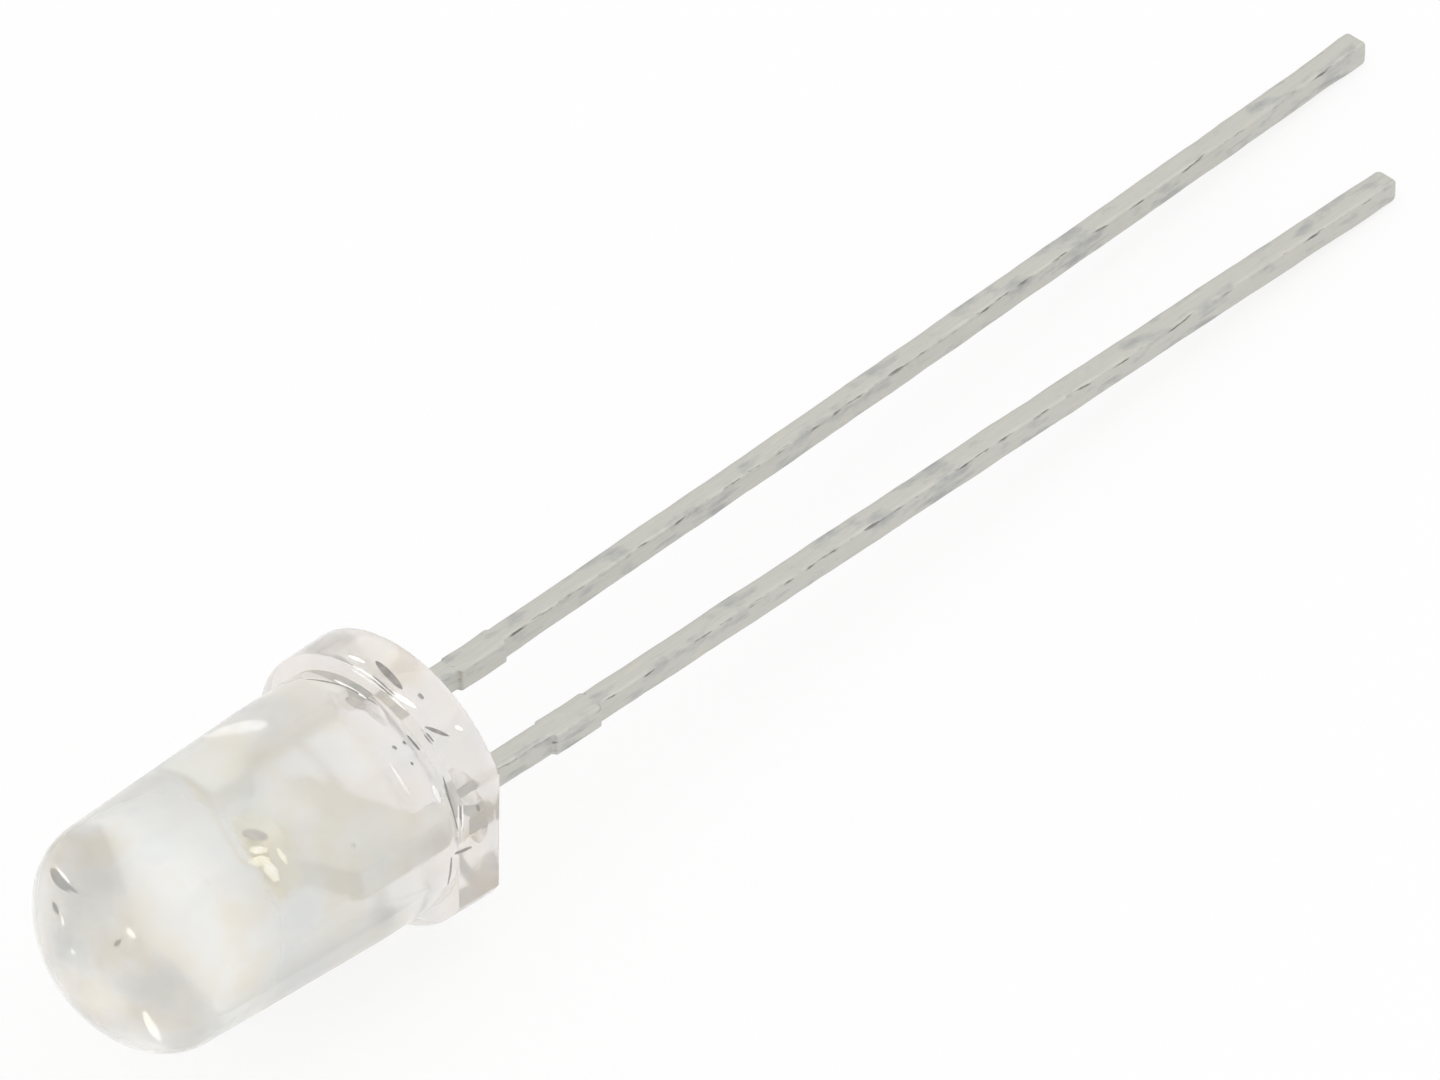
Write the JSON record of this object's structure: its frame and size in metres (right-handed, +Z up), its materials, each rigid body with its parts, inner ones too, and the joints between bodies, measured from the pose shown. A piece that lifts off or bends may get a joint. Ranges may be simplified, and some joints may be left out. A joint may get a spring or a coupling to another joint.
{
  "type": "through hole led",
  "caption": "Clear through hole light emitting diode with a domed lens, a flange with a flat on its cathode side, and long tinned leads of unequal length.",
  "frame": {"origin": "middle of the flange's seating face, where the lens's axis crosses it", "axes": "the diode lies at rest on a level plane 2.89 mm below the origin: +X runs level out through the dome, the leads run to -X, +Y is the cathode side and +Z is up. The lens's own axis points 5.82 degrees above +X, and the plane of the leads is rolled 4.31 degrees down to the cathode side"},
  "size_m": [0.0361, 0.0056, 0.006],
  "materials": {
    "clear_resin": "gloss",
    "tinned_steel": "satin",
    "silver_paste": "satin",
    "chip_crystal": "gloss",
    "gold": "polished"
  },
  "bodies": {
    "root": {"lens": "clear_resin", "cathode_lead": "tinned_steel", "anode_lead": "tinned_steel", "die_attach": "silver_paste", "led_chip": "chip_crystal", "chip_contact": "gold", "bond_wire": "gold"}
  },
  "joints": []
}
